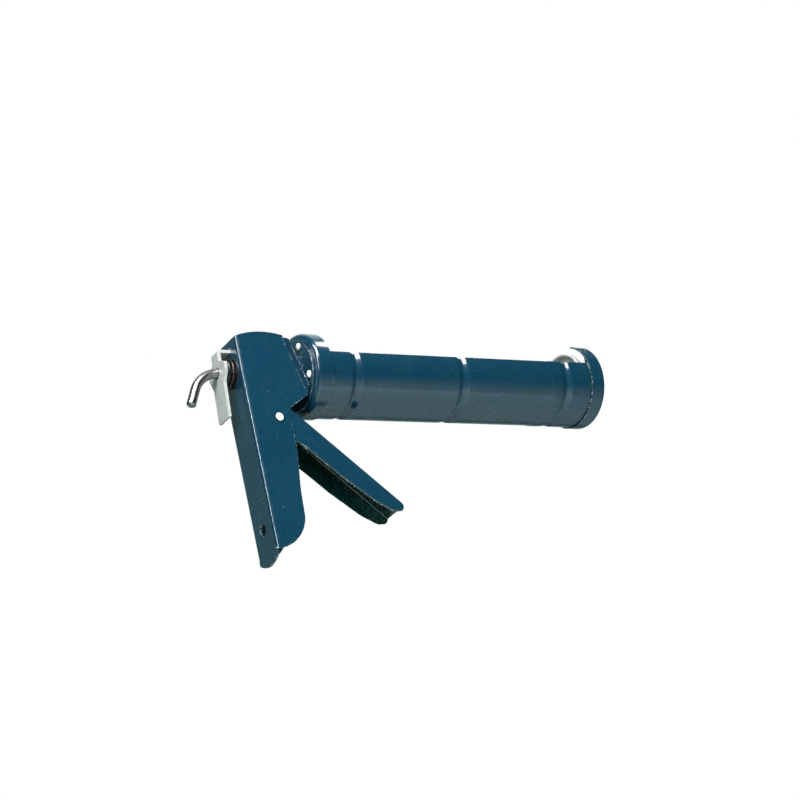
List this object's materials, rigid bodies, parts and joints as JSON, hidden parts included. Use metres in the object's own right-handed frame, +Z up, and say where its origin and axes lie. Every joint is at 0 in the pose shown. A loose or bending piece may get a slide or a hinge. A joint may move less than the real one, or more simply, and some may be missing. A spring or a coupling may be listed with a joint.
{
  "type": "caulking gun",
  "caption": "Half-barrel caulking gun with a folded sheet-steel handle, squeeze trigger, hooked push rod with piston, and a thumb release plate.",
  "frame": {"origin": "on the barrel axis, at the outside of the rear cap", "axes": "+X forward along the barrel axis towards the nozzle slot, +Y to the left, +Z up, with the handle below"},
  "size_m": [0.3258, 0.0588, 0.1663],
  "materials": {
    "blue_enamel": "glossy dark petrol-blue enamel over sheet steel",
    "zinc_plate": "bright zinc-plated sheet",
    "rod_steel": "cold-drawn steel rod, satin",
    "rivet_steel": "bright polished rivet head",
    "hard_plate": "hardened dark steel plate",
    "spring_wire": "dark oiled spring wire"
  },
  "bodies": {
    "frame": {"handle_frame": "blue_enamel", "cradle": "blue_enamel", "rear_cap": "blue_enamel", "front_cap": "blue_enamel", "mounting_bracket": "blue_enamel", "bracket_rivets": "rivet_steel", "trigger_pivot_rivet": "rivet_steel", "return_spring": "spring_wire", "return_spring_seat": "zinc_plate", "release_spring": "spring_wire", "release_spring_seat": "zinc_plate"},
    "trigger": {"trigger": "blue_enamel", "trigger_sleeve": "hard_plate", "drive_pin": "rivet_steel"},
    "drive_plates": {"drive_plate_rear": "hard_plate", "drive_plate_front": "hard_plate"},
    "piston": {"piston_disc": "zinc_plate", "piston_backing_disc": "zinc_plate"},
    "rod": {"rod": "rod_steel", "piston_rear_nut": "zinc_plate", "piston_washer": "zinc_plate", "piston_front_nut": "zinc_plate"},
    "release_lever": {"release_plate": "zinc_plate"}
  },
  "joints": [
    {"name": "trigger_pivot", "type": "hinge", "parent": "frame", "child": "trigger", "pos_m": [-0.0285, 0, -0.037], "axis": [0, 1, 0], "range_deg": [0, 40], "stiffness_Nm_per_rad": 0.6, "springref_deg": -20.05},
    {"name": "drive_slide", "type": "slide", "parent": "frame", "child": "drive_plates", "axis": [1, 0, 0], "range_m": [0, 0.02], "deforming": ["return_spring"]},
    {"name": "rod_slide", "type": "slide", "parent": "frame", "child": "piston", "axis": [-1, 0, 0], "range_m": [0, 0.2]},
    {"name": "rod_turn", "type": "hinge", "parent": "piston", "child": "rod", "pos_m": [0.227, 0, 0], "axis": [1, 0, 0], "continuous": true},
    {"name": "release_tilt", "type": "hinge", "parent": "frame", "child": "release_lever", "pos_m": [-0.05782, 0, 0.0132], "axis": [0, -1, 0], "range_deg": [0, 8], "stiffness_Nm_per_rad": 0.1, "springref_deg": -17.19, "deforming": ["release_spring"]}
  ],
  "couplings": [
    {"joint": "drive_slide", "follows": "trigger_pivot", "m_per_rad": 0.0286}
  ]
}
